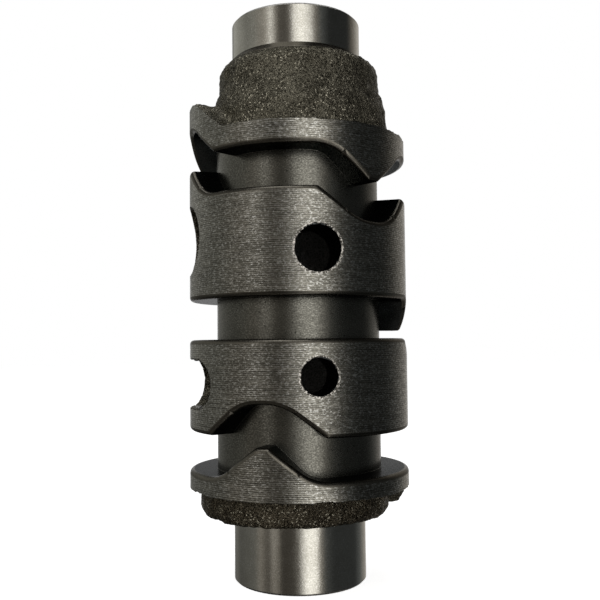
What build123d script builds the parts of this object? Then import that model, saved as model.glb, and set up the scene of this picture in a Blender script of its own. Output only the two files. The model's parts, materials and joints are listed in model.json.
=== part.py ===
"""Gear shift drum: one hollow casting, turned on the outside, with three milled cam tracks."""
from build123d import *
from math import atan2, ceil, cos, degrees, pi, radians, sin, tan
import os

os.makedirs("parts", exist_ok=True)

# Millimetres. Z runs along the drum's axis, zero at the lower end face.
# Angles go round the axis in degrees: 0 is the front (-Y), 90 is the right (+X).

# Turned body
drum_radius = 20.0
core_radius = 15.0          # floor of the cam tracks
journal_radius = 12.0
journal_chamfer = 0.4
upper_journal_length = 7.1
lower_flange = 3.2          # metal between a track in neutral and the cast face beside it
upper_flange = 4.0
turned_run = 0.3            # the turned diameter runs this far down the lower lobe

# Cam tracks, one for each of the three forks' 7 mm guide pins
track_width = 7.0
track_chamfer = 0.75
track_throw = 5.5           # travel of a fork from neutral to a gear
track_bend = 5.0            # radius on the pin's path at every bend
ramp_turn = 22.0            # turn of the drum that a full throw takes
dwell_half = 6.5            # half of the flat at a gear
lower_track = 23.7          # height of the lowest fork's pin in neutral
middle_spacing = 23.2       # from each fork's pin to the next one's
upper_spacing = 25.2
first_gear = -78.0          # the gears follow every 60 degrees
gear_step = 60.0
middle_lead = 3.0           # the middle pin stands this far round from the other two

# As-cast features that no tool has reached
ring_inset = 2.9            # the ring is this much smaller in radius than the turned diameter
ring_shift = 0.9            # and sits off the axis, to the left
ring_height = 4.9
ring_round = 1.2
lobe_step = 0.4             # the lower lobe stays this far inside the turned diameter
lobe_bend = 2.0
lower_lobe_rise = 0.3       # the lower lobe ends this far above the ring's lower face
upper_lobe_rise = 6.0       # the upper lobe stands this far over its flange
upper_lobe_foot = 38.4      # half-angles of the two lobes
upper_lobe_flat = 13.8
lower_lobe_foot = 78.0
lower_lobe_flat = 57.0
boss_radius = 14.9
boss_shift = 0.5            # the boss sits off the axis, to the right
boss_height = 15.8
boss_foot_radius = 16.4
boss_foot_height = 5.0
boss_neck_height = 6.0      # the part over the taper
boss_round = 1.9
shoulder_radius = 13.2      # outer rim of the shoulder cut by the turning tool
shoulder_drop = 1.2

# Hollow inside
bore_radius = 8.0
bore_chamfer = 1.0
cavity_radius = 11.0
cavity_rise = 3.5           # the cavity starts this far over the lower flange's face
pocket_radius = 8.0
pocket_height = 1.5
web_thickness = 12.0        # the web that closes the upper end
screw_radius = 3.4          # tapping size of an M8 thread
screw_chamfer = 0.6
dowel_radius = 2.0
dowel_depth = 6.0
dowel_offset = 7.5
dowel_angle = 102.0

# Openings through the wall, at heights over the track below them
front_hole_angle = 10.0
upper_hole_radius = 3.9
upper_hole_rise = 11.25
lower_hole_radius = 3.1
lower_hole_rise = 13.45
window_angle = -80.5
upper_window_rise = 14.5
upper_window_length = 14.6
upper_window_width = 12.4
lower_window_rise = 11.9
lower_window_length = 21.2
lower_window_width = 8.7

track_half = track_width / 2
middle_track = lower_track + middle_spacing
upper_track = middle_track + upper_spacing
lower_face = lower_track - track_half - lower_flange      # underside of the lower flange
upper_face = upper_track + track_half + upper_flange      # top of the upper flange
upper_lobe_top = upper_face + upper_lobe_rise
ring_bottom = lower_face - ring_height
ring_radius = drum_radius - ring_inset
lower_lobe_bottom = ring_bottom + lower_lobe_rise
boss_top = upper_face + boss_height
boss_foot_top = upper_face + boss_foot_height
boss_waist = boss_top - boss_neck_height
shoulder = boss_top - shoulder_drop
total_length = boss_top + upper_journal_length
cavity_bottom = lower_face + cavity_rise
web_bottom = total_length - web_thickness
cavity_top = web_bottom - pocket_height - cavity_radius + pocket_radius
full_turn = 2 * pi * drum_radius
round_steps = 2             # facets in the roundings of the ring and the boss
clear = 1.0                 # how far a cutter runs past the face it cuts


def at(angle, radius, height):
    """Point on a cylinder, from its angle in degrees."""
    return (radius * sin(radians(angle)), -radius * cos(radians(angle)), height)


def along(angle):
    """Distance round the turned diameter."""
    return radians(angle) * drum_radius


def gear(centre, level):
    """One gear position of a track: out along a ramp, a dwell, and back to neutral."""
    first, last = centre - dwell_half, centre + dwell_half
    throw = level * track_throw
    return [(first - ramp_turn, 0.0), (first, throw), (last, throw), (last + ramp_turn, 0.0)]


def edge_spans(path, half, side, bend):
    """One edge beside a path in the unrolled plane, as spans of (start, run, height rule).

    Outside a bend the edge is round, inside it the two straights meet in a corner.
    """
    slopes = []
    for number, (x, z) in enumerate(path):
        following = path[(number + 1) % len(path)]
        slopes.append(atan2(following[1] - z, (following[0] - x) % full_turn))
    knots = []
    for number, (x, z) in enumerate(path):
        before, after = slopes[number - 1], slopes[number]
        middle, turn = (before + after) / 2, after - before
        if turn * side < 0:
            reach, radius = -bend / cos(turn / 2), bend + half
            centre = (x - side * reach * sin(middle), z + side * reach * cos(middle))
            ends = [(centre[0] - side * radius * sin(t), centre[1] + side * radius * cos(t))
                    for t in (before, after)]
        else:
            reach, radius, centre = half / cos(turn / 2), 0.0, None
            ends = [(x - side * reach * sin(middle), z + side * reach * cos(middle))] * 2
        knots.append((ends, centre, radius))
    spans = []
    for number, ((start, stop), centre, radius) in enumerate(knots):
        if centre:
            offset = start[0] - centre[0]
            spans.append((start[0], stop[0] - start[0],
                          lambda d, c=centre[1], r=radius, o=offset: c + side * (r ** 2 - (o + d) ** 2) ** 0.5))
        goal = knots[(number + 1) % len(knots)][0][0]
        slope = tan(slopes[number])
        spans.append((stop[0], (goal[0] - stop[0]) % full_turn, lambda d, z=stop[1], s=slope: z + s * d))
    return spans


def level_span(height):
    """An edge that runs level all the way round."""
    return [(0.0, full_turn, lambda d: height)]


def height_over(spans, place):
    """Height of an edge over one place of the unrolled plane."""
    for start, run, rule in spans:
        away = (place - start) % full_turn
        if away <= run + 1e-6:
            return rule(away)
    raise ValueError("no span covers this place")


def edge_on(radius, places, heights):
    """Carry an edge of the unrolled plane onto a cylinder."""
    points = [at(degrees(x / drum_radius), radius, z) for x, z in zip(places, heights)]
    if max(heights) - min(heights) < 1e-7:
        return Edge.make_three_point_arc(points[0], points[len(points) // 2], points[-1])
    return Edge.make_spline(points)


def steps_for(start, run):
    """Even places along one span, about every six degrees and never fewer than five."""
    count = 2 * max(2, ceil(run / along(12.0)))
    return [start + run * k / count for k in range(count + 1)]


def closed_ring(loops):
    """Close the strips between loops that all run round the drum into one solid."""
    faces = []
    for number, loop in enumerate(loops):
        following = loops[(number + 1) % len(loops)]
        for one, other in zip(loop, following):
            faces.append(Face.make_surface_from_curves(one, other))
    return Solid(Shell(faces))


def band(lower, upper, inner, outer):
    """Ring between two edges whose walls stand square to the axis."""
    breaks = sorted({round(start % full_turn, 6) for start, run, rule in lower + upper})
    loops = []
    for spans, radius in ((lower, inner), (lower, outer), (upper, outer), (upper, inner)):
        loop = []
        for number, start in enumerate(breaks):
            run = (breaks[(number + 1) % len(breaks)] - start) % full_turn
            places = steps_for(start, run)
            loop.append(edge_on(radius, places, [height_over(spans, x) for x in places]))
        loops.append(loop)
    return closed_ring(loops)


def bevel(path, side):
    """Ring that breaks one edge of a track at the turned diameter."""
    under, over = 0.3, 0.5
    rims = ((drum_radius - track_chamfer - under, track_half - under),
            (drum_radius + over, track_half + track_chamfer + over),
            (drum_radius + over, track_half - under))
    loops = []
    for radius, half in rims:
        loop = []
        for start, run, rule in edge_spans(path, half, side, track_bend):
            places = steps_for(start, run)
            loop.append(edge_on(radius, places, [rule(x - start) for x in places]))
        loops.append(loop)
    return closed_ring(loops)


def lobe_edge(centre, foot, flat, rest, crest, side):
    """Edge of a cast flange that stands up, or hangs down, in one lobe."""
    path = [(along(centre - foot), rest), (along(centre - flat), crest),
            (along(centre + flat), crest), (along(centre + foot), rest)]
    return edge_spans(path, 0.0, side, lobe_bend)


def rounded_corner(outer, level, radius, side):
    """Points of a faceted rounding between a wall at radius outer and a level face."""
    turns = [pi / 2 * step / round_steps for step in range(round_steps + 1)]
    return [(outer - radius * (1 - cos(turn)), level - side * radius * (1 - sin(turn))) for turn in turns]


def radial_plane(angle, height, distance):
    """Sketch plane that faces outward, with X round the drum and Y along it."""
    return Plane(origin=at(angle, distance, height), x_dir=(cos(radians(angle)), sin(radians(angle)), 0),
                 z_dir=(sin(radians(angle)), -cos(radians(angle)), 0))


gears = [first_gear + gear_step * number for number in range(6)]
middle_low, middle_high = gears[3] + middle_lead, gears[4] + middle_lead
tracks = [
    (lower_track, gear(gears[1], 1) + gear(gears[4], -1)),
    (middle_track, gear(middle_low, -1)[:3] + gear(middle_high, 1)[1:]),
    (upper_track, gear(gears[0], 1) + gear(gears[2], -1)),
]

with BuildPart() as shift_drum:
    # Blank: the three drums and both flanges are one turned diameter
    with BuildSketch(Plane.XY.offset(lower_face - turned_run)):
        Circle(drum_radius)
    extrude(amount=upper_lobe_top - lower_face + turned_run + clear)
    with BuildSketch(Plane.XY.offset(lower_lobe_bottom - clear)):
        Circle(drum_radius - lobe_step)
    extrude(amount=lower_face - lower_lobe_bottom + 2 * clear)

    # The cast faces of the two outer flanges follow the tracks in lobes
    upper_edge = lobe_edge(gears[0], upper_lobe_foot, upper_lobe_flat, upper_face, upper_lobe_top, 1)
    lower_edge = lobe_edge(gears[4], lower_lobe_foot, lower_lobe_flat, lower_face, lower_lobe_bottom, -1)
    above, below = level_span(upper_lobe_top + 2 * clear), level_span(lower_lobe_bottom - 2 * clear)
    add(band(upper_edge, above, bore_radius, drum_radius + clear), mode=Mode.SUBTRACT)
    add(band(below, lower_edge, bore_radius, drum_radius + clear), mode=Mode.SUBTRACT)

    # Cast ring under the lower flange
    ring_edge = ring_radius - ring_shift
    with BuildSketch(Plane.XZ):
        Polygon((-ring_shift, ring_bottom), (-ring_shift, lower_face + clear), (ring_edge, lower_face + clear),
                *rounded_corner(ring_edge, ring_bottom, ring_round, -1), align=None)
    revolve(axis=Axis((-ring_shift, 0, 0), (0, 0, 1)))

    # Cast boss over the upper flange, with the shoulder that the tool cut on top of it
    with BuildSketch(Plane.XZ):
        Polygon((boss_shift, shoulder), (boss_shift, upper_face - clear),
                (boss_shift + boss_foot_radius, upper_face - clear),
                (boss_shift + boss_foot_radius, boss_foot_top), (boss_shift + boss_radius, boss_waist),
                *rounded_corner(boss_shift + boss_radius, shoulder, boss_round, 1), align=None)
    revolve(axis=Axis((boss_shift, 0, 0), (0, 0, 1)))

    # Cam tracks, milled below their floor here and filled to it by the core
    for height, corners in tracks:
        path = [(along(angle), height + rise) for angle, rise in corners]
        sides = [edge_spans(path, track_half, side, track_bend) for side in (-1, 1)]
        add(band(*sides, core_radius - clear, drum_radius + clear), mode=Mode.SUBTRACT)
        for side in (-1, 1):
            add(bevel(path, side), mode=Mode.SUBTRACT)
    with BuildSketch(Plane.XY.offset(ring_bottom + clear)):
        Circle(core_radius)
    extrude(amount=upper_lobe_top - ring_bottom - 2 * clear)

    # Both ground journals and the turned shoulder
    with BuildSketch(Plane.XZ):
        Polygon((0, 0), (journal_radius - journal_chamfer, 0), (journal_radius, journal_chamfer),
                (journal_radius, ring_bottom + clear), (journal_radius, boss_waist),
                (shoulder_radius, boss_waist), (shoulder_radius, shoulder),
                (journal_radius, boss_top), (journal_radius, total_length - journal_chamfer),
                (journal_radius - journal_chamfer, total_length), (0, total_length), align=None)
    revolve(axis=Axis.Z)

    # Hollow: open bore below, cored cavity between the flanges, closed web above
    with BuildSketch(Plane.XZ):
        Polygon((0, -clear), (bore_radius + bore_chamfer + clear, -clear), (bore_radius, bore_chamfer),
                (bore_radius, cavity_bottom - cavity_radius + bore_radius), (cavity_radius, cavity_bottom),
                (cavity_radius, cavity_top), (pocket_radius, cavity_top + cavity_radius - pocket_radius),
                (pocket_radius, web_bottom), (0, web_bottom), align=None)
    revolve(axis=Axis.Z, mode=Mode.SUBTRACT)

    # Tapped hole and dowel hole for what is bolted to the upper end
    with BuildSketch(Plane.XZ):
        Polygon((0, web_bottom - clear), (screw_radius, web_bottom - clear),
                (screw_radius, total_length - screw_chamfer),
                (screw_radius + screw_chamfer + clear, total_length + clear), (0, total_length + clear), align=None)
    revolve(axis=Axis.Z, mode=Mode.SUBTRACT)
    with BuildSketch(Plane.XY.offset(total_length - dowel_depth)):
        with Locations(at(dowel_angle, dowel_offset, 0)[:2]):
            Circle(dowel_radius)
    extrude(amount=dowel_depth + clear, mode=Mode.SUBTRACT)

    # Round holes at the front, cast windows at the left
    for radius, height in ((upper_hole_radius, middle_track + upper_hole_rise),
                           (lower_hole_radius, lower_track + lower_hole_rise)):
        with BuildSketch(radial_plane(front_hole_angle, height, cavity_radius / 2)):
            Circle(radius)
        extrude(amount=drum_radius, mode=Mode.SUBTRACT)
    for length, width, height in ((upper_window_length, upper_window_width, middle_track + upper_window_rise),
                                  (lower_window_length, lower_window_width, lower_track + lower_window_rise)):
        with BuildSketch(radial_plane(window_angle, height, clear)):
            SlotOverall(length, width)
        extrude(amount=drum_radius, mode=Mode.SUBTRACT)

shift_drum.part.label = "shift_drum"
export_step(shift_drum.part, "parts/shift_drum.step")
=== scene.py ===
"""Looks of the gear shift drum: one hollow casting, turned outside, with three milled cam tracks."""
import json
from math import cos, pi, radians, sin, sqrt

import bmesh
import bpy
import numpy as np
from mathutils import Matrix, Vector, noise

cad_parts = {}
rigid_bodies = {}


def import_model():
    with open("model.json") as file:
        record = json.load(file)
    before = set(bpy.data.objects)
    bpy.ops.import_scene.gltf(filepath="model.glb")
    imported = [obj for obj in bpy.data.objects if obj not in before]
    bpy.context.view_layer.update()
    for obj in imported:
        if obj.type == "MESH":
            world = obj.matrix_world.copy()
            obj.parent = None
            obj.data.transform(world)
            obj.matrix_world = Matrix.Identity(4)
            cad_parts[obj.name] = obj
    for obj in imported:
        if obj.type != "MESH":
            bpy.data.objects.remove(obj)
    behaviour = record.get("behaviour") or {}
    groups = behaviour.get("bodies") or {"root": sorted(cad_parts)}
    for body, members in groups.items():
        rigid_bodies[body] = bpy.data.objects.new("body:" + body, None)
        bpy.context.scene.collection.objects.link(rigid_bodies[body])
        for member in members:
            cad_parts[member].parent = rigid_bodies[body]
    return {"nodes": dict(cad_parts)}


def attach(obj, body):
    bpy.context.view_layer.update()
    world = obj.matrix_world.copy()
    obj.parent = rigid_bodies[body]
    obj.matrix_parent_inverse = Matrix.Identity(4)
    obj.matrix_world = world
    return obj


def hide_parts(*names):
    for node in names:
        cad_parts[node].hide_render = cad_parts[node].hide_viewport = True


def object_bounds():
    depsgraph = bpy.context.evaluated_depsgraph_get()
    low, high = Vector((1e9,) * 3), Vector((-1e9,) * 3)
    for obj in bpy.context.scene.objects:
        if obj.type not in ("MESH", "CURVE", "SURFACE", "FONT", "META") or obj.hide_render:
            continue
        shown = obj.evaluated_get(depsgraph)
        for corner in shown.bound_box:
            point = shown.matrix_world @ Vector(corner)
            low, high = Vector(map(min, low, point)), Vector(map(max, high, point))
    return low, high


for leftover in list(bpy.data.objects):
    bpy.data.objects.remove(leftover)
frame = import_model()
cad_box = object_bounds()
cad = frame["nodes"]["shift_drum"]

# Sizes of the casting, in millimetres as in the CAD source
MM = 0.001
DRUM_R, CORE_R, JOURNAL_R, CAVITY_R, LOBE_R, CHAMFER = 20.0, 15.0, 12.0, 11.0, 19.6, 0.75
LOWER_FACE, UPPER_FACE = 17.0, 79.6
RING_X, RING_BOTTOM = -0.9, 12.1
BOSS_X, SHOULDER, BOSS_TOP, TOP = 0.5, 94.2, 95.4, 102.5
# Openings in the wall: angle round the axis, height, length round the drum, width
ROUND_HOLES = ((10.0, 58.15, 7.8, 7.8), (10.0, 37.15, 6.2, 6.2))
WINDOWS = ((-80.5, 61.4, 14.6, 12.4), (-80.5, 35.6, 21.2, 8.7))
RIMS = ROUND_HOLES + WINDOWS

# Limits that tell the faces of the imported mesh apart, each a little past the surface it bounds
BEVEL_IN, RING_OUT, BOSS_OUT, SHOULDER_OUT = 19.1, 17.13, 16.45, 13.25
CAST_FACE_IN, CAST_FOOT_IN = 12.5, 14.5
LOWER_END, LOWER_BORE, UPPER_END, END_HOLES, SCREW_OUT, SCREW_DEEP = 1.1, 8.05, 96.0, 8.0, 3.5, 12.1
SHOULDER_DROP, END_EDGE = 0.8, 0.7                    # turned edges below the shoulder and at the top
NEAR, TIGHT, LOOSE = 0.03, 0.02, 0.05                 # how near a point lies to the surface that it is on

# Regions of the casting's surface, with the longest edge that each may have in the refined mesh
(TURNED, MILLED, BEVEL, GROUND, CAST, BOSS, RING, WINDOW, DRILLED, HOLLOW, ENDS, SHOULDER_CUT,
 RIM, WALL) = REGIONS = range(14)
TARGET = {TURNED: 1.6, MILLED: 1.6, BEVEL: 0.5, GROUND: 1.8, CAST: 0.42, BOSS: 0.40, RING: 0.38,
          WINDOW: 0.75, DRILLED: 1.2, HOLLOW: 3.0, ENDS: 2.0, SHOULDER_CUT: 1.0, RIM: 0.3, WALL: 2.2}
AS_CAST = (CAST, BOSS, RING, WINDOW)
RIM_TARGET, RIM_REACH, RIM_DEPTH = 0.28, 0.6, 0.8     # finer edges this near to a chipped rim
BURR_REACH = 0.42                                     # the torn band round the round holes
WIDE_TURN = 0.6                                       # chords over this angle are cuts across, not round
UNEVEN = 0.01                                         # ends of an edge at different distances from the axis

# Most rounds of each kind of work on the mesh
SPLIT_ROUNDS, FLIP_ROUNDS, BORDER_PASSES, RESTORE_ROUNDS, UNFOLD_ROUNDS = 40, 3, 4, 12, 20

# As-cast skin: depth, size, seed and detail of each layer of lumps
SKIN_LUMPS = ((0.19, 4.0, 1, 1), (0.19, 1.7, 5, 1), (0.13, 0.8, 2, 3))
EDGE_LUMPS = ((0.16, 3.0, 3, 2), (0.10, 0.9, 4, 2))
EDGE_FADE, EDGE_SLACK = 1.2, 0.1
EDGE_ZONES = ((UPPER_FACE - 3, 90.0), (10.0, LOWER_FACE + 3))   # heights that hold each cast flange's edge
SOFTEN_PASSES, SOFTEN_STEP = 16, 0.55
# Chipped rims: size and seed of the chips, and how far the rim grows and sinks, at least and more at a chip
CHIP_SIZE, CHIP_SEED, CHIP_GAIN = 0.6, 11, 1.6
RIM_GROW, RIM_SINK = (0.04, 0.36), (0.08, 0.22)


# Mesh

def read_mesh(mesh):
    bm = bmesh.new()
    bm.from_mesh(mesh)
    bmesh.ops.remove_doubles(bm, verts=bm.verts, dist=1e-6)
    bmesh.ops.triangulate(bm, faces=bm.faces)
    bm.verts.index_update()
    points = np.array([v.co[:] for v in bm.verts]) / MM
    faces = np.array([[v.index for v in f.verts] for f in bm.faces])
    bm.free()
    return points, faces


def face_normals(points, faces):
    a, b, c = (points[faces[:, k]] for k in range(3))
    n = np.cross(b - a, c - a)
    return n / np.maximum(np.linalg.norm(n, axis=1, keepdims=True), 1e-12)


def agree(one, two):
    """Cosine of the angle between each pair of unit normals."""
    return (one * two).sum(axis=1)


def from_axis(points, shift=0.0):
    """Distance from the upright axis at x = shift."""
    return np.hypot(points[..., 0] - shift, points[..., 1])


def along_hole(points, angle, height):
    """Points as seen along a hole's axis: distance ahead of the drum's axis, across it, and up."""
    out = np.array((sin(radians(angle)), -cos(radians(angle))))
    side = np.array((cos(radians(angle)), sin(radians(angle))))
    ahead = points[..., 0] * out[0] + points[..., 1] * out[1]
    across = points[..., 0] * side[0] + points[..., 1] * side[1]
    return ahead, across, points[..., 2] - height


def off_outline(across, up, length, width):
    """Distance from the outline of a slot, seen along its axis. A round hole is as long as it is wide."""
    return np.abs(np.hypot(np.maximum(np.abs(across) - (length - width) / 2, 0), up) - width / 2)


def rim_distance(points, hole):
    """How far points are from the rim of a hole or window, along the drum's turned face."""
    angle, height, length, width = hole
    ahead, across, up = along_hole(points, angle, height)
    return np.where(ahead > 0, off_outline(across, up, length, width), 99.0)


def sort_regions(points, faces):
    """Tell each face's region from where its three corners lie. Later rules overrule earlier ones."""
    corners = points[faces]
    centre = corners.mean(axis=1)
    normal = face_normals(points, faces)
    r, z = from_axis(corners), corners[..., 2]
    # rise and outward are the parts of the normal that point up and away from the axis
    middle_z, rise = centre[:, 2], normal[:, 2]
    outward = normal[:, 0] * centre[:, 0] + normal[:, 1] * centre[:, 1]
    outward = outward / np.maximum(from_axis(centre), 1e-9)

    def whole(mask):
        return mask.all(axis=1)

    def on(radius):
        return whole(np.abs(r - radius) < NEAR)

    low_face = middle_z < LOWER_FACE + 0.01
    shoulder = (whole(z > SHOULDER - SHOULDER_DROP) & whole(z < BOSS_TOP + LOOSE) & whole(r < SHOULDER_OUT)
                & whole(r > JOURNAL_R - LOOSE))
    rules = (
        (WALL, np.abs(rise) > 0.3),
        (TURNED, on(DRUM_R) & (outward > 0.9)),
        (BEVEL, whole(r > BEVEL_IN) & ~on(DRUM_R) & (np.abs(rise) > 0.2) & (outward > 0.25)),
        (CAST, whole(r > CAST_FACE_IN) & (rise > 0.2) & (middle_z > UPPER_FACE - LOOSE)),
        (CAST, whole(r > CAST_FOOT_IN) & (rise < 0.2) & low_face & ~on(DRUM_R)),
        (CAST, on(LOBE_R) & low_face),
        (RING, whole(from_axis(corners, RING_X) < RING_OUT) & whole(z > RING_BOTTOM - TIGHT)
         & (middle_z < LOWER_FACE) & whole(r > JOURNAL_R - TIGHT) & ~on(JOURNAL_R)),
        (BOSS, whole(from_axis(corners, BOSS_X) < BOSS_OUT) & whole(z > UPPER_FACE - TIGHT)
         & whole(z < SHOULDER + TIGHT) & whole(r > JOURNAL_R + 0.1)),
        (SHOULDER_CUT, shoulder & (outward > 0.2) & ~on(JOURNAL_R)),
        (GROUND, on(JOURNAL_R) & (outward > 0.9)),
        (HOLLOW, whole(r < CAVITY_R + LOOSE)),
        (ENDS, whole(z < LOWER_FACE) & whole(r < LOWER_BORE)),
        (ENDS, whole(z < LOWER_END) & ~on(JOURNAL_R)),
        (ENDS, whole(z > UPPER_END) & whole(r < END_HOLES)),
        (ENDS, whole(z > TOP - END_EDGE) & ~on(JOURNAL_R)),
        (ENDS, whole(z > TOP - SCREW_DEEP) & whole(r < SCREW_OUT)),
    )
    region = np.full(len(faces), MILLED)
    for kind, mask in rules:
        region[mask] = kind
    for angle, height, length, width in ROUND_HOLES:
        ahead, across, up = along_hole(corners, angle, height)
        wall = whole(off_outline(across, up, length, width) < NEAR) & whole(ahead > 9)
        region[wall & (np.abs(outward) < 0.5)] = DRILLED
    for angle, height, length, width in WINDOWS:
        ahead, across, up = along_hole(corners, angle, height)
        wall = whole(off_outline(across, up, length, width) < NEAR) & whole(ahead > 0)
        region[wall & (np.abs(outward) < 0.93) & ~on(CORE_R) & ~on(DRUM_R)] = WINDOW
    return region


def longest_allowed(points, faces, region, limits):
    """The region's own limit, and a finer one beside the rims that are chipped."""
    allowed = limits[region]
    centre = points[faces].mean(axis=1)
    outer = from_axis(centre) > DRUM_R - RIM_DEPTH
    for hole in RIMS:
        allowed[outer & (rim_distance(centre, hole) < RIM_REACH)] = RIM_TARGET
    return allowed


def edge_list(faces, total):
    """Every edge once, and the three edges of each face by number."""
    pairs = np.sort(np.concatenate((faces[:, [0, 1]], faces[:, [1, 2]], faces[:, [2, 0]])), axis=1)
    keys, back = np.unique(pairs[:, 0] * total + pairs[:, 1], return_inverse=True)
    return np.column_stack((keys // total, keys % total)), back.reshape(3, -1).T


def marked(numbers, total):
    """A mask of this length with these numbers set."""
    mask = np.zeros(total, bool)
    mask[numbers] = True
    return mask


def edge_sides(back):
    """The two faces at each edge, and which of its three edges it is in each."""
    order = np.argsort(back.ravel(), kind="stable").reshape(-1, 2)
    return order // 3, order % 3


def halfway(a, b, shift):
    """Middle of each edge, taken round an upright axis at x = shift so that turned faces stay round."""
    flat_a, flat_b = a[:, :2] - (shift, 0), b[:, :2] - (shift, 0)
    ra, rb = np.hypot(*flat_a.T), np.hypot(*flat_b.T)
    ta, tb = np.arctan2(flat_a[:, 1], flat_a[:, 0]), np.arctan2(flat_b[:, 1], flat_b[:, 0])
    turn = (tb - ta + pi) % (2 * pi) - pi
    t, r = ta + turn / 2, (ra + rb) / 2
    middle = np.column_stack((r * np.cos(t) + shift, r * np.sin(t), (a[:, 2] + b[:, 2]) / 2))
    straight = np.abs(turn) > WIDE_TURN
    middle[straight] = (a[straight] + b[straight]) / 2
    return middle


def edge_middles(points, edges, back, region):
    """Middle of each edge: round the axis of the drum, boss or ring, or straight in a hole's wall."""
    a, b = points[edges[:, 0]], points[edges[:, 1]]
    middles = halfway(a, b, 0.0)
    uneven = np.abs(from_axis(a) - from_axis(b)) > UNEVEN
    for kind, shift in ((BOSS, BOSS_X), (RING, RING_X)):
        pick = marked(back[region == kind], len(edges)) & uneven
        middles[pick] = halfway(a[pick], b[pick], shift)
    in_wall = ~marked(back[~np.isin(region, (WINDOW, DRILLED))], len(edges))
    middles[in_wall] = ((a + b) / 2)[in_wall]
    return middles


def flip(points, faces, region):
    """Turn edges between two faces of one region where that makes both faces better shaped."""
    flat, gain = 0.95, 0.02
    for step in range(FLIP_ROUNDS):
        n = face_normals(points, faces)
        edges, back = edge_list(faces, len(points))
        (f1, f2), (k1, k2) = (side.T for side in edge_sides(back))
        a, b, c = faces[f1, k1], faces[f1, (k1 + 1) % 3], faces[f1, (k1 + 2) % 3]
        d = faces[f2, (k2 + 2) % 3]

        def angle(tip):
            u, v = points[a] - points[tip], points[b] - points[tip]
            return np.arctan2(np.linalg.norm(np.cross(u, v), axis=1), (u * v).sum(axis=1))

        score = angle(c) + angle(d) - pi
        first, second = np.column_stack((a, d, c)), np.column_stack((d, b, c))
        good = (score > gain) & (region[f1] == region[f2]) & (faces[f2, k2] == b)
        good &= agree(n[f1], n[f2]) > flat
        for new in (face_normals(points, first), face_normals(points, second)):
            good &= (agree(new, n[f1]) > flat) & (agree(new, n[f2]) > flat)
        wanted = np.minimum(c, d) * len(points) + np.maximum(c, d)
        good &= ~np.isin(wanted, edges[:, 0] * len(points) + edges[:, 1])
        best = np.zeros(len(faces))
        for f in (f1, f2):
            np.maximum.at(best, f, np.where(good, score, 0))
        good &= (score >= best[f1]) & (score >= best[f2])
        pick = np.flatnonzero(good)
        pick = pick[np.unique(wanted[pick], return_index=True)[1]]
        used = np.bincount(np.concatenate((f1[pick], f2[pick])), minlength=len(faces))
        pick = pick[(used[f1[pick]] == 1) & (used[f2[pick]] == 1)]
        if not len(pick):
            break
        faces[f1[pick]] = first[pick]
        faces[f2[pick]] = second[pick]
    return faces


def split_faces(points, faces, region, marks):
    """Split faces at the new points on their three edges; a mark of -1 stands for no new point."""
    count = (marks >= 0).sum(axis=1)
    out, kept = [faces[count == 0]], [region[count == 0]]
    for cuts in (1, 2, 3):
        chosen = count == cuts
        if not chosen.any():
            continue
        f, m = faces[chosen], marks[chosen]
        if cuts < 3:
            # turn each face so that its lone cut (or lone uncut) edge comes first
            lone = np.argmax(m >= 0, axis=1) if cuts == 1 else np.argmin(m >= 0, axis=1)
            order = (lone[:, None] + np.arange(3)) % 3
            f, m = np.take_along_axis(f, order, 1), np.take_along_axis(m, order, 1)
        (f0, f1, f2), (m0, m1, m2) = f.T, m.T
        if cuts == 1:
            parts = ((f0, m0, f2), (m0, f1, f2))
        elif cuts == 2:
            one = np.linalg.norm(points[f0] - points[m1], axis=1)
            other = np.linalg.norm(points[f1] - points[m2], axis=1)
            short = one < other
            parts = ((m1, f2, m2), (f0, f1, np.where(short, m1, m2)), (np.where(short, f0, f1), m1, m2))
        else:
            parts = ((f0, m0, m2), (m0, f1, m1), (m2, m1, f2), (m0, m1, m2))
        out += [np.column_stack(part) for part in parts]
        kept += [region[chosen]] * len(parts)
    return np.concatenate(out), np.concatenate(kept)


def refine(points, faces, region, limits):
    """Halve long edges, the longest of each face first, until every region's limit is met."""
    for step in range(SPLIT_ROUNDS):
        edges, back = edge_list(faces, len(points))
        allowed = longest_allowed(points, faces, region, limits)
        reach = np.full(len(edges), 1e9)
        for k in range(3):
            np.minimum.at(reach, back[:, k], allowed)
        length = np.linalg.norm(points[edges[:, 0]] - points[edges[:, 1]], axis=1)
        longest = back[np.arange(len(back)), np.argmax(length[back], axis=1)]
        cut = (length > reach) & marked(longest, len(edges))
        if not cut.any():
            break
        new = np.full(len(edges), -1)
        new[cut] = len(points) + np.arange(cut.sum())
        points = np.concatenate((points, edge_middles(points, edges, back, region)[cut]))
        faces, region = split_faces(points, faces, region, new[back])
        faces = flip(points, faces, region)
    return points, faces, region


def sharp_pairs(points, faces, region):
    """Edges that stay crisp: a turn of more than 25 degrees, with a cut face on one side at least."""
    n = face_normals(points, faces)
    edges, back = edge_list(faces, len(points))
    one, two = edge_sides(back)[0].T
    turn = agree(n[one], n[two]) < cos(radians(25))
    rough = np.isin(region[one], AS_CAST) & np.isin(region[two], AS_CAST)
    rough |= (region[one] == BEVEL) & (region[two] == BEVEL)
    return edges[turn & ~rough]


def lumps(points, scale, seed, detail=2):
    """Smooth seeded noise between about -1 and 1 at each point; scale is the lumps' size in mm."""
    smoothness, gap = 0.9, 2.0
    shift = Vector((seed * 7.31, seed * -3.17, seed * 5.03))
    return np.array([noise.fractal(Vector(p) / scale + shift, smoothness, gap, detail) for p in points])


def layered(points, layers):
    """Height of several layers of lumps together."""
    return sum(depth * lumps(points, scale, seed, detail) for depth, scale, seed, detail in layers)


def vertex_normals(points, faces, chosen):
    n = np.cross(points[faces[:, 1]] - points[faces[:, 0]], points[faces[:, 2]] - points[faces[:, 0]])[chosen]
    total = np.zeros_like(points)
    for k in range(3):
        np.add.at(total, faces[chosen, k], n)
    return total / np.maximum(np.linalg.norm(total, axis=1, keepdims=True), 1e-12)


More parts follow.
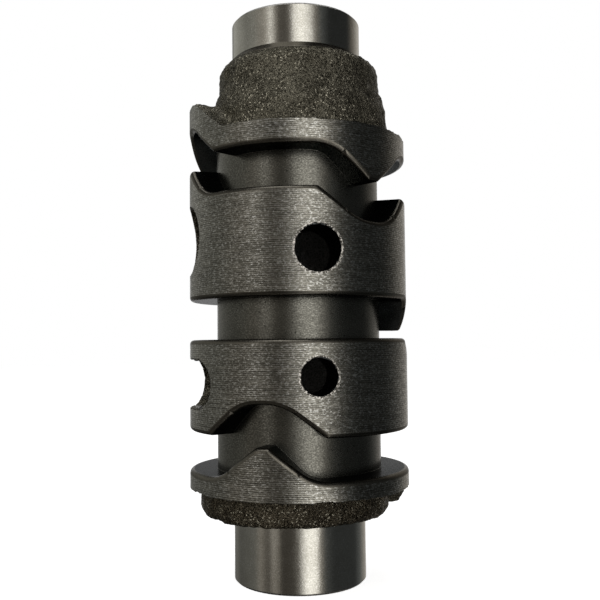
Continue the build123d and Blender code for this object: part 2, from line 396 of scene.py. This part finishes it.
def neighbours(edges, total):
    """Each edge both ways round, and how many neighbours each point has along these edges."""
    one, two = np.concatenate((edges[:, 0], edges[:, 1])), np.concatenate((edges[:, 1], edges[:, 0]))
    return one, two, np.bincount(one, minlength=total)


def neighbour_sum(points, one, two):
    return np.column_stack([np.bincount(one, points[two, k], minlength=len(points)) for k in range(3)])


def soften(points, faces, free):
    """Round the casting's own corners by drawing each free point towards its neighbours."""
    one, two, count = neighbours(edge_list(faces, len(points))[0], len(points))
    count = np.maximum(count, 1)
    points = points.copy()
    for step in range(SOFTEN_PASSES):
        mean = neighbour_sum(points, one, two) / count[:, None]
        points[free] += SOFTEN_STEP * (mean - points)[free]
    return points


def round_bevels(points, faces, region):
    """Turn the tracks' flat chamfers into rounded edges, and ease the corners in their outlines."""
    start, points = points, points.copy()
    chosen = region == BEVEL
    edges, back = edge_list(faces, len(points))
    kinds = region[edge_sides(back)[0]]
    for other in (TURNED, WALL):
        border = (kinds == BEVEL).any(axis=1) & (kinds == other).any(axis=1)
        one, two, count = neighbours(edges[border], len(points))
        free = count == 2
        for step in range(BORDER_PASSES):
            mean = neighbour_sum(points, one, two)[free] / 2
            before = from_axis(points[free])
            points[free] += 0.5 * (mean - points[free])
            points[free, :2] *= (before / from_axis(points[free]))[:, None]
    inside = marked(faces[chosen], len(points)) & ~marked(faces[~chosen], len(points))
    inside &= from_axis(points) > DRUM_R - CHAMFER
    down = (DRUM_R - from_axis(points[inside])) / CHAMFER
    arc = np.sqrt(1 - 2 * np.clip(down - 0.5, -0.5, 0.5) ** 2) - sqrt(0.5)
    points[inside] += CHAMFER * arc[:, None] * vertex_normals(points, faces, chosen)[inside]
    # the tight corners where a ramp begins or ends, which would fold, stay as they were cut
    folds_below = 0.3
    was = face_normals(start, faces)
    for step in range(RESTORE_ROUNDS):
        folded = agree(face_normals(points, faces), was) < folds_below
        if not folded.any():
            break
        corners = np.unique(faces[folded])
        points[corners] = start[corners]
    return points


def wear_rims(points):
    """Chip the rims of the round holes and windows where they meet the turned face."""
    r = from_axis(points)
    for number, hole in enumerate(RIMS):
        angle, height, length, width = hole
        rim = np.flatnonzero((np.abs(r - DRUM_R) < TIGHT) & (rim_distance(points, hole) < TIGHT))
        ahead, across, up = along_hole(points[rim], angle, height)
        chip = np.clip(CHIP_GAIN * lumps(points[rim], CHIP_SIZE, CHIP_SEED + number), -0.6, 1.0)
        side = 1.0
        if hole in ROUND_HOLES:                       # worn most at the upper right
            side = np.clip(0.55 + 0.45 * (across + up) / np.hypot(across, up), 0.25, 1.0)
        grow = (RIM_GROW[0] + RIM_GROW[1] * np.clip(chip, 0, 1)) * side
        sunk = DRUM_R - (RIM_SINK[0] + RIM_SINK[1] * np.clip(chip + 0.3, 0, 1)) * side
        core = np.clip(across, -(length - width) / 2, (length - width) / 2)
        away = np.hypot(across - core, up)
        across = across + grow * (across - core) / away
        up = up + grow * up / away
        turn = radians(angle) + np.arcsin(across / DRUM_R)
        points[rim] = np.column_stack((sunk * np.sin(turn), -sunk * np.cos(turn), height + up))
    return points


def roughen(points, faces, region):
    """As-cast skin: lumps and grains on every face that no tool has reached."""
    cast = np.isin(region, AS_CAST)
    on_cast, on_cut = (marked(faces[chosen], len(points)) for chosen in (cast, ~cast))
    inner = np.flatnonzero(on_cast & ~on_cut)
    points = soften(points, faces[cast], inner)
    moved = points.copy()
    moved[inner] += vertex_normals(points, faces, cast)[inner] * layered(points[inner], SKIN_LUMPS)[:, None]
    # the edge that the turning tool left on the casting wanders up and down, and the turned face with it
    z = points[:, 2]
    for low, high in EDGE_ZONES:
        turned = (np.abs(from_axis(points) - DRUM_R) < TIGHT) & (z > low) & (z < high)
        edge = np.flatnonzero(turned & on_cast & on_cut)
        edge = edge[(z[edge] > UPPER_FACE - EDGE_SLACK) | (z[edge] < LOWER_FACE + EDGE_SLACK)]
        angle = np.arctan2(points[edge, 1], points[edge, 0])
        order = np.argsort(angle)
        angle, level = angle[order], z[edge][order]
        near = np.flatnonzero(turned)
        turn = np.arctan2(points[near, 1], points[near, 0])
        foot = np.interp(turn, np.concatenate((angle - 2 * pi, angle, angle + 2 * pi)), np.tile(level, 3))
        fade = np.clip(1 - np.abs(z[near] - foot) / EDGE_FADE, 0, 1)
        moved[near, 2] += fade * layered(np.column_stack((points[near, :2], foot)), EDGE_LUMPS)
    return moved


def unfold(points, faces):
    """Ease the few corners that chips and lumps have folded over."""
    edges, back = edge_list(faces, len(points))
    first, second = edge_sides(back)[0].T
    one, two, count = neighbours(edges, len(points))
    folds_below = -0.4
    for step in range(UNFOLD_ROUNDS):
        n = face_normals(points, faces)
        folded = agree(n[first], n[second]) < folds_below
        if not folded.any():
            break
        corners = np.unique(edges[folded])
        mean = neighbour_sum(points, one, two) / count[:, None]
        points[corners] += 0.5 * (mean - points)[corners]
    return points


def build_mesh(name, points, faces, crisp):
    mesh = bpy.data.meshes.new(name)
    mesh.vertices.add(len(points))
    mesh.vertices.foreach_set("co", (points * MM).astype(np.float32).ravel())
    mesh.loops.add(len(faces) * 3)
    mesh.loops.foreach_set("vertex_index", faces.astype(np.int32).ravel())
    mesh.polygons.add(len(faces))
    mesh.polygons.foreach_set("loop_start", (np.arange(len(faces)) * 3).astype(np.int32))
    mesh.polygons.foreach_set("use_smooth", np.ones(len(faces), bool))
    mesh.update(calc_edges=True)
    ends = np.empty(len(mesh.edges) * 2, np.int32)
    mesh.edges.foreach_get("vertices", ends)
    ends = np.sort(ends.reshape(-1, 2), axis=1).astype(np.int64)
    span = len(points) + 1
    flags = np.isin(ends[:, 0] * span + ends[:, 1], crisp[:, 0] * span + crisp[:, 1])
    mesh.edges.foreach_set("use_edge_sharp", flags)
    return mesh


points, faces = read_mesh(cad.data)
region = sort_regions(points, faces)
points, faces, region = refine(points, faces, region, np.array([TARGET[k] for k in REGIONS]))
crisp = sharp_pairs(points, faces, region)
for hole in ROUND_HOLES:
    region[(region == TURNED) & (rim_distance(points[faces].mean(axis=1), hole) < BURR_REACH)] = RIM
points = round_bevels(points, faces, region)
points = wear_rims(points)
points = roughen(points, faces, region)
points = unfold(points, faces)
low, high = ([c / MM for c in corner] for corner in cad_box)
mesh = build_mesh("drum_casting", np.clip(points, low, high), faces, crisp)
casting = bpy.data.objects.new("drum_casting", mesh)
bpy.context.scene.collection.objects.link(casting)
print("triangles", len(faces), "by region", np.bincount(region, minlength=len(REGIONS)).tolist())


# Materials

class Tree:
    """Short way to write nodes. An input takes a number, a colour or another node's output."""

    def __init__(self, tree):
        self.tree = tree

    def node(self, kind, **settings):
        node = self.tree.nodes.new(kind)
        for name, value in settings.items():
            setattr(node, name, value)
        return node

    def link(self, source, target):
        if isinstance(source, (int, float)):
            target.default_value = source
        elif isinstance(source, tuple):
            target.default_value = (*source, 1.0) if len(target.default_value) == 4 else source
        else:
            self.tree.links.new(source, target)

    def fill(self, node, **sources):
        """Set a node's inputs by name, with _ for a space, and give its first output if it has any."""
        for name, source in sources.items():
            self.link(source, node.inputs[name.replace("_", " ")])
        return node.outputs[0] if node.outputs else None

    def math(self, kind, a, b):
        node = self.node("ShaderNodeMath", operation=kind)
        self.link(a, node.inputs[0])
        self.link(b, node.inputs[1])
        return node.outputs[0]

    def weigh(self, a, share, b, other_share):
        """Sum of two values, each times its share."""
        return self.math("ADD", self.math("MULTIPLY", a, share), self.math("MULTIPLY", b, other_share))

    def ramp(self, value, low, high, to_low=0.0, to_high=1.0, kind="SMOOTHSTEP"):
        """Values from low to high become values from to_low to to_high."""
        node = self.node("ShaderNodeMapRange", interpolation_type=kind)
        return self.fill(node, Value=value, From_Min=low, From_Max=high, To_Min=to_low, To_Max=to_high)

    def blend(self, factor, a, b):
        """Mix of two colours."""
        node = self.node("ShaderNodeMix", data_type="RGBA")
        for place, source in ((0, factor), (6, a), (7, b)):
            self.link(source, node.inputs[place])
        return node.outputs[2]

    def choose(self, factor, a, b):
        """Mix of two shaders."""
        node = self.node("ShaderNodeMixShader")
        for place, source in enumerate((factor, a, b)):
            self.link(source, node.inputs[place])
        return node.outputs[0]


class Metal(Tree):
    """A material's nodes. Noise scales are per millimetre, and bump depths are in millimetres."""

    def __init__(self, name):
        self.material = bpy.data.materials.new(name)
        self.material.use_nodes = True
        super().__init__(self.material.node_tree)
        self.shader = self.tree.nodes["Principled BSDF"]
        scale = self.node("ShaderNodeVectorMath", operation="SCALE")
        self.link(self.node("ShaderNodeTexCoord").outputs["Object"], scale.inputs[0])
        self.mm = self.fill(scale, Scale=1 / MM)

    def noise(self, scale, detail, rough, stretch=None):
        """Noise between 0 and 1, drawn out along each axis where stretch is small."""
        place = self.mm
        if stretch:
            part = self.node("ShaderNodeVectorMath", operation="MULTIPLY")
            self.link(place, part.inputs[0])
            self.link(stretch, part.inputs[1])
            place = part.outputs[0]
        return self.fill(self.node("ShaderNodeTexNoise"), Vector=place, Scale=scale, Detail=detail,
                         Roughness=rough)

    def grains(self, scale):
        """Round grains: how far a point is from its grain's middle, and a random number per grain."""
        node = self.node("ShaderNodeTexVoronoi")
        self.fill(node, Vector=self.mm, Scale=scale)
        return node.outputs["Distance"], node.outputs["Color"]

    def rings(self, pitch, waver):
        """Lines left by a turning tool, all the way round the axis."""
        node = self.node("ShaderNodeTexWave", wave_type="BANDS", bands_direction="Z", wave_profile="SIN")
        self.fill(node, Vector=self.mm, Scale=2 * pi / (20 * pitch), Distortion=waver)
        return node.outputs["Fac"]

    def bump(self, height, depth, below=None):
        node = self.node("ShaderNodeBump")
        if below is not None:
            self.link(below, node.inputs["Normal"])
        return self.fill(node, Height=height, Distance=depth * MM)

    def soft_edge(self):
        """Edges look broken by 0.12 mm."""
        return self.fill(self.node("ShaderNodeBevel", samples=4), Radius=0.12 * MM)

    def brushed(self, amount):
        """Highlights drawn out by fine lines that run round the axis."""
        self.fill(self.shader, Anisotropic=amount, Anisotropic_Rotation=0.25,
                  Tangent=self.node("ShaderNodeTangent", direction_type="RADIAL", axis="Z").outputs[0])

    def finish(self, colour, rough, normal, metallic=1.0, edge=1.0):
        """Connect the shader. An edge below 1 darkens the metal where it is seen at a flat angle."""
        self.fill(self.shader, Base_Color=colour, Metallic=metallic, Roughness=rough, Normal=normal,
                  Specular_Tint=(edge, edge, edge))
        return self.material


def times(colour, factor):
    """A lighter or darker colour, up to white."""
    return tuple(min(c * factor, 1.0) for c in colour)


def turned_metal(name, light, dark, rough, line=0.030):
    n = Metal(name)
    cloud = n.noise(0.09, 3, 0.6)
    speck = n.noise(3.9, 3, 0.8, stretch=(0.5, 0.5, 1.0))
    streak = n.noise(2.8, 3, 0.7, stretch=(0.08, 0.08, 1.0))
    rings = n.rings(0.34, 0.9)
    colour = n.blend(n.ramp(n.weigh(cloud, 0.45, streak, 0.55), 0.38, 0.62), dark, light)
    cut = n.ramp(n.weigh(rings, 0.35, streak, 0.65), 0.50, 0.36)
    colour = n.blend(n.math("MULTIPLY", cut, 0.60), colour, times(dark, 0.35))
    # specks up to three times as light as the metal: painted glints
    painted_glint = n.ramp(speck, 0.53, 0.62)
    colour = n.blend(n.math("MULTIPLY", painted_glint, 0.55), colour, times(light, 3.0))
    dull = n.ramp(speck, 0.47, 0.40)
    colour = n.blend(n.math("MULTIPLY", dull, 0.42), colour, times(dark, 0.3))
    roughness = n.ramp(n.weigh(speck, 0.5, cloud, 0.5), 0.3, 0.7, rough + 0.06, rough - 0.06)
    normal = n.bump(n.weigh(rings, 0.6, streak, 1.0), line, below=n.soft_edge())
    normal = n.bump(n.noise(3.4, 3, 0.75), 0.020, below=normal)
    n.brushed(0.62)
    return n.finish(colour, roughness, normal)


def milled_metal(name, light, dark, rough, grain=0.007, edge=1.0, speckle=1.0):
    n = Metal(name)
    cloud = n.noise(0.12, 3, 0.6)
    fine = n.noise(4.6, 2, 0.7, stretch=(0.7, 0.7, 1.0))
    colour = n.blend(n.ramp(n.weigh(cloud, 0.6, fine, 0.4), 0.36, 0.64), dark, light)
    # specks 2.4 times as light as the metal: painted glints
    colour = n.blend(n.ramp(fine, 0.54, 0.63, 0.0, 0.26 * speckle), colour, times(light, 2.4))
    colour = n.blend(n.ramp(fine, 0.46, 0.38, 0.0, 0.28 * speckle), colour, times(dark, 0.35))
    spots = n.ramp(n.noise(1.9, 1, 0.5), 0.70, 0.76)
    colour = n.blend(n.math("MULTIPLY", spots, 0.7 * speckle), colour, times(dark, 0.2))
    normal = n.bump(fine, grain, below=n.soft_edge())
    normal = n.bump(n.noise(1.1, 2, 0.5), 0.010, below=normal)
    return n.finish(colour, n.ramp(fine, 0.3, 0.7, rough + 0.05, rough - 0.05), normal, edge=edge)


def cast_skin(name, light, dark, rough, grain, metallic=0.95, glint_colour=(0.84, 0.79, 0.63)):
    n = Metal(name)
    cloud = n.noise(0.25, 3, 0.6)
    cells, chance = n.grains(2.9)
    fine = n.noise(3.4, 4, 0.75)
    colour = n.blend(n.ramp(n.weigh(cloud, 0.3, fine, 0.7), 0.38, 0.60), dark, light)
    pits = n.math("MULTIPLY", n.ramp(chance, 0.42, 0.34), n.ramp(cells, 0.55, 0.35))
    colour = n.blend(n.math("MULTIPLY", pits, 0.8), colour, times(dark, 0.3))
    # painted glints: a share of the grains takes a light colour, in patches
    glint = n.math("MULTIPLY", n.ramp(chance, 0.60, 0.70), n.ramp(cells, 0.50, 0.25))
    patches = n.ramp(n.noise(0.24, 2, 0.5), 0.42, 0.58, 0.30, 1.0)
    colour = n.blend(n.math("MULTIPLY", glint, patches), colour, glint_colour)
    roughness = n.ramp(fine, 0.35, 0.65, rough + 0.12, rough - 0.08)
    normal = n.bump(n.weigh(fine, 1.0, cells, -0.5), grain)
    return n.finish(colour, roughness, normal, metallic, edge=0.6)


def ground_metal(name, light, dark, rough):
    n = Metal(name)
    streak = n.noise(5.0, 3, 0.6, stretch=(0.06, 0.06, 1.0))
    cloud = n.noise(0.3, 2, 0.5)
    speck = n.noise(3.9, 3, 0.8)
    colour = n.blend(n.ramp(cloud, 0.35, 0.65), dark, light)
    colour = n.blend(n.ramp(speck, 0.44, 0.36, 0.0, 0.35), colour, times(dark, 0.45))
    # near-white specks: painted glints
    colour = n.blend(n.ramp(speck, 0.54, 0.62, 0.0, 0.30), colour, (0.95, 0.94, 0.90))
    roughness = n.ramp(n.weigh(streak, 0.6, speck, 0.4), 0.3, 0.7, rough + 0.05, rough - 0.04)
    normal = n.bump(n.noise(3.8, 2, 0.7), 0.009, below=n.bump(streak, 0.003))
    n.brushed(0.6)
    return n.finish(colour, roughness, normal)


# Torn metal round the round holes: bare burrs, and its near-white colour is also a painted glint
def burred_rim_and_glint(name, light, dark, rough):
    n = Metal(name)
    torn = n.noise(2.6, 3, 0.7)
    colour = n.blend(n.ramp(torn, 0.46, 0.56), dark, light)
    return n.finish(colour, n.ramp(torn, 0.3, 0.7, rough + 0.15, rough - 0.05), n.bump(torn, 0.12))


materials = {
    TURNED: turned_metal("turned_face", (0.385, 0.370, 0.320), (0.245, 0.236, 0.202), 0.35),
    MILLED: milled_metal("milled_track", (0.195, 0.190, 0.166), (0.140, 0.136, 0.117), 0.29, grain=0.010),
    # the tracks' walls: the milled metal made darker, as painted shade
    WALL: milled_metal("shaded_track_wall", (0.095, 0.100, 0.098), (0.060, 0.064, 0.064), 0.30,
                       edge=0.3, speckle=0.6),
    BEVEL: milled_metal("broken_edge", (0.20, 0.187, 0.158), (0.15, 0.139, 0.116), 0.30,
                        grain=0.003, edge=0.6, speckle=0.25),
    GROUND: ground_metal("ground_journal", (0.53, 0.515, 0.46), (0.48, 0.465, 0.412), 0.19),
    CAST: cast_skin("cast_skin", (0.255, 0.238, 0.184), (0.068, 0.062, 0.046), 0.22, grain=0.20),
    # the ring under the lower flange: the cast skin made darker, as painted shade
    RING: cast_skin("shaded_cast_ring", (0.19, 0.164, 0.118), (0.038, 0.031, 0.021), 0.24, grain=0.26),
    # near-white torn rims: real burrs, partly painted glints
    RIM: burred_rim_and_glint("burred_rim_and_glint", (0.78, 0.75, 0.69), (0.14, 0.132, 0.115), 0.30),
    # the cored hollow: a darker skin with dim glints, as painted shade inside
    HOLLOW: cast_skin("shaded_cored_hollow", (0.12, 0.12, 0.115), (0.07, 0.07, 0.066), 0.55,
                      grain=0.06, metallic=0.3, glint_colour=(0.16, 0.16, 0.155)),
    ENDS: turned_metal("faced_end", (0.38, 0.37, 0.34), (0.29, 0.28, 0.25), 0.35, line=0.008),
}
# Regions without a material of their own share one. The shoulder cut takes the darker edge metal and the
# drilled walls the dark track-wall metal, both as painted shade.
shared = {BOSS: CAST, WINDOW: CAST, DRILLED: WALL, SHOULDER_CUT: BEVEL}
for material in materials.values():
    mesh.materials.append(material)
numbers = np.array([list(materials).index(shared.get(k, k)) for k in REGIONS], np.int32)
mesh.polygons.foreach_set("material_index", numbers[region])
mesh.update()

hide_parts("shift_drum")
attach(casting, "root")

# Floor: white for the camera, clear for mirrored rays, and it takes the object's shadow

FLOOR_R, FLOOR_SIDES = 1.6, 24
FLOOR_COLOUR, FLOOR_GLOW = (0.86, 0.86, 0.86), 0.88
bm = bmesh.new()
for k in range(FLOOR_SIDES):
    a = 2 * pi * k / FLOOR_SIDES
    bm.verts.new((FLOOR_R * cos(a), FLOOR_R * sin(a), 0.0))
bm.faces.new(bm.verts)
floor_mesh = bpy.data.meshes.new("floor")
bm.to_mesh(floor_mesh)
bm.free()
floor = bpy.data.objects.new("floor", floor_mesh)
bpy.context.scene.collection.objects.link(floor)
paint = bpy.data.materials.new("floor_paint")
paint.use_nodes = True
paint.node_tree.nodes.clear()
n = Tree(paint.node_tree)
rays = n.node("ShaderNodeLightPath").outputs
diffuse = n.fill(n.node("ShaderNodeBsdfDiffuse"), Color=FLOOR_COLOUR)
glow = n.fill(n.node("ShaderNodeEmission"), Strength=FLOOR_GLOW)
lit = n.node("ShaderNodeAddShader")
n.link(diffuse, lit.inputs[0])
n.link(glow, lit.inputs[1])
seen = n.choose(rays["Is Camera Ray"], diffuse, lit.outputs[0])
clear = n.node("ShaderNodeBsdfTransparent").outputs[0]
n.fill(n.node("ShaderNodeOutputMaterial"), Surface=n.choose(rays["Is Glossy Ray"], seen, clear))
floor_mesh.materials.append(paint)

# World: white for the camera, a dim studio with a few windows for the metal

# Bearing in degrees from the camera's side, positive to the right, and the studio's brightness there,
# over and under the horizon
STUDIO_OVER = ((-180, 0.20), (-172, 0.07), (-162, 0.12), (-147, 0.45), (-112, 0.33), (-98, 0.25),
               (-80, 0.31), (-60, 0.38), (-52, 0.62), (-45, 1.25), (-36, 0.34), (-30, 0.12), (-18, 0.10),
               (-9, 0.18), (-3, 1.30), (10, 1.75), (20, 1.45), (27, 1.05), (35, 0.25), (46, 0.11),
               (62, 0.03), (108, 0.03), (122, 0.18), (150, 0.55), (180, 0.55))
STUDIO_UNDER = ((-180, 0.20), (-172, 0.06), (-162, 0.08), (-147, 0.17), (-125, 0.10), (-85, 0.16),
                (-71, 0.30), (-62, 0.13), (-54, 0.09), (-47, 0.32), (-38, 0.22), (-31, 0.06), (-10, 0.08),
                (-1, 0.14), (5, 1.10), (14, 1.80), (27, 1.80), (34, 0.40), (44, 0.09), (60, 0.045),
                (110, 0.045), (125, 0.12), (152, 0.40), (180, 0.40))
LEVEL = 2.0                              # a ramp's colours stay below 1, so its light is scaled by this
WARM_FROM, COOL_FROM, UNLIT = -75, 40, 0.15           # bearings, and the light below which it is cooler
# As a direction's part upwards, or straight behind, goes from the first value to the second, the light
# that comes from there goes from the third to the fourth
UNDER_TO_OVER = (-0.26, 0.34)
TOWARDS_GROUND, GROUND_GLOW = (-0.62, -0.30, 0.08, 1.0), (-0.58, -0.74, 0.0, 0.42)
TOWARDS_CEILING = (0.42, 0.72, 1.0, 0.16)
STRAIGHT_BEHIND = (0.90, 0.97)


def studio_colour(bearing, light):
    """Warmer where it is dim, neutral in the windows, cooler on the unlit side to the right."""
    full = min(light, 1.0)
    tint = (1.0, 1.0, 0.94)
    if bearing > COOL_FROM and light < UNLIT:
        tint = (0.93, 1.0, 1.03)
    elif bearing > WARM_FROM:
        tint = (1.0, 0.91 + 0.075 * full, 0.80 + 0.16 * full)
    return (*(light * c / LEVEL for c in tint), 1.0)


def studio_ramp(n, turn, stops):
    """The studio's colour all the way round; turn is 0.5 on the camera's side."""
    node = n.node("ShaderNodeValToRGB")
    elements = node.color_ramp.elements
    while len(elements) > 1:
        elements.remove(elements[-1])
    for number, (bearing, light) in enumerate(stops):
        place = bearing / 360 + 0.5
        stop = elements[0] if number == 0 else elements.new(place)
        stop.position = place
        stop.color = studio_colour(bearing, light)
    return n.fill(node, Fac=turn)


world = bpy.data.worlds.new("studio")
bpy.context.scene.world = world
world.use_nodes = True
world.node_tree.nodes.clear()
n = Tree(world.node_tree)
rays = n.node("ShaderNodeLightPath").outputs
split = n.node("ShaderNodeSeparateXYZ")
n.link(n.node("ShaderNodeTexCoord").outputs["Generated"], split.inputs[0])
x, y, z = split.outputs
turn = n.ramp(n.math("ARCTAN2", x, n.math("MULTIPLY", y, -1.0)), -pi, pi, kind="LINEAR")
studio = n.blend(n.ramp(z, *UNDER_TO_OVER, kind="LINEAR"), studio_ramp(n, turn, STUDIO_UNDER),
                 studio_ramp(n, turn, STUDIO_OVER))
# the studio is darker towards the ground and under its ceiling, and the ground itself gives some light
ground = n.math("ADD", n.ramp(z, *TOWARDS_GROUND), n.ramp(z, *GROUND_GLOW))
shade = n.math("MULTIPLY", ground, n.ramp(z, *TOWARDS_CEILING))
dim = n.fill(n.node("ShaderNodeBackground"), Color=studio, Strength=n.math("MULTIPLY", shade, LEVEL))
white = n.fill(n.node("ShaderNodeBackground"), Color=(1.0, 1.0, 1.0), Strength=1.0)
# metal mirrors the white backdrop where it stands, straight behind the object
mirrored = n.math("MULTIPLY", rays["Is Glossy Ray"], n.ramp(y, *STRAIGHT_BEHIND))
through = n.math("MAXIMUM", rays["Is Camera Ray"], rays["Is Transmission Ray"])
backdrop = n.choose(n.math("MAXIMUM", mirrored, through), dim, white)
n.fill(n.node("ShaderNodeOutputWorld"), Surface=backdrop)

# Lights

LIGHTS_AIM = (0, 0, 0.05)


def soft_light(name, where, size, power):
    data = bpy.data.lights.new(name, "AREA")
    data.shape = "RECTANGLE"
    data.size, data.size_y = size
    data.energy = power
    lamp = bpy.data.objects.new(name, data)
    lamp.location = where
    lamp.rotation_euler = (Vector(LIGHTS_AIM) - Vector(where)).to_track_quat("-Z", "Y").to_euler()
    bpy.context.scene.collection.objects.link(lamp)


soft_light("top_light", (-0.15, -0.25, 0.8), (0.5, 0.5), 1.0)
soft_light("back_light", (-0.05, 0.32, 0.75), (0.6, 0.5), 0.9)

# Camera, fitted to the photo

SENSOR_WIDTH, PIXELS_WIDE, FOCAL_PIXELS = 36.0, 600.0, 798.4
EYE = Vector((0.37, -148.94, 42.49)) * MM
TILT_DEGREES, ROLL_DEGREES = 3.17, 0.55
tilt, roll = radians(TILT_DEGREES), radians(ROLL_DEGREES)
ahead = Vector((0, cos(tilt), sin(tilt)))
up = Vector((0, -sin(tilt), cos(tilt)))
right = Vector((1, 0, 0))
local_x = cos(roll) * right - sin(roll) * up
local_y = sin(roll) * right + cos(roll) * up
camera_data = bpy.data.cameras.new("camera")
camera_data.sensor_width = SENSOR_WIDTH
camera_data.lens = SENSOR_WIDTH * FOCAL_PIXELS / PIXELS_WIDE
camera_data.clip_start = 0.01
camera = bpy.data.objects.new("camera", camera_data)
facing = Matrix((local_x, local_y, -ahead)).transposed().to_4x4()
camera.matrix_world = Matrix.Translation(EYE) @ facing
bpy.context.scene.collection.objects.link(camera)
bpy.context.scene.camera = camera
bpy.context.scene.view_settings.view_transform = "Standard"
